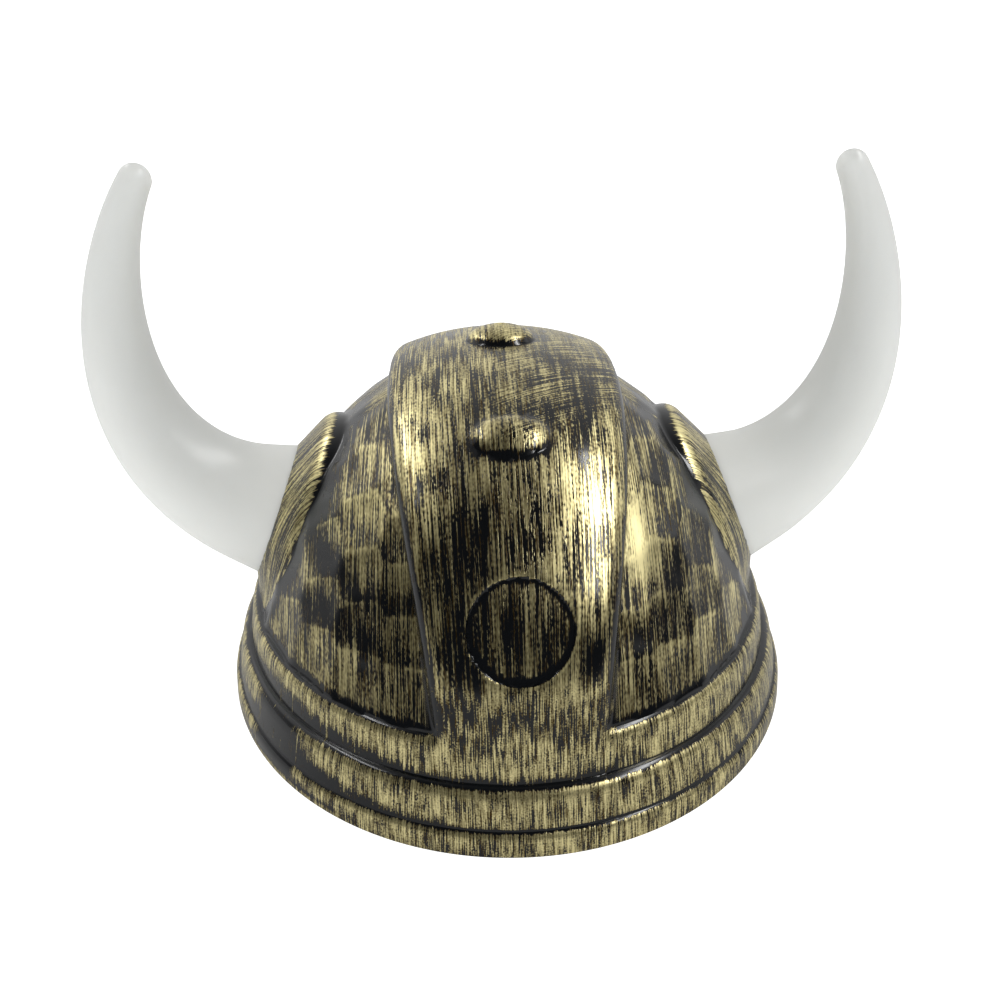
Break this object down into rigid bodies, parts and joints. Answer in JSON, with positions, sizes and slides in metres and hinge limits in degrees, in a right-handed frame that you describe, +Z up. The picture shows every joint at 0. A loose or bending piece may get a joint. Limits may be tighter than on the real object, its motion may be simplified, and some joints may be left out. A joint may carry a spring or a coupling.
{
  "type": "horned viking costume helmet",
  "caption": "Moulded plastic viking costume helmet with a stepped rim, a raised studded band over the crown and upturned white horns.",
  "frame": {"origin": "middle of the rim, on the surface that the helmet stands on", "axes": "+Z up through the crown, -Y toward the front of the head, and the horns along -X and +X"},
  "size_m": [0.2758, 0.26, 0.1764],
  "materials": {
    "brushed_plastic": "glossy blue-black plastic, dry-brushed by hand with antique gold paint in mostly upright strokes",
    "horn_plastic": "satin milky white plastic"
  },
  "bodies": {
    "root": {"shell": "brushed_plastic", "horn_left": "horn_plastic", "horn_right": "horn_plastic"}
  },
  "joints": []
}
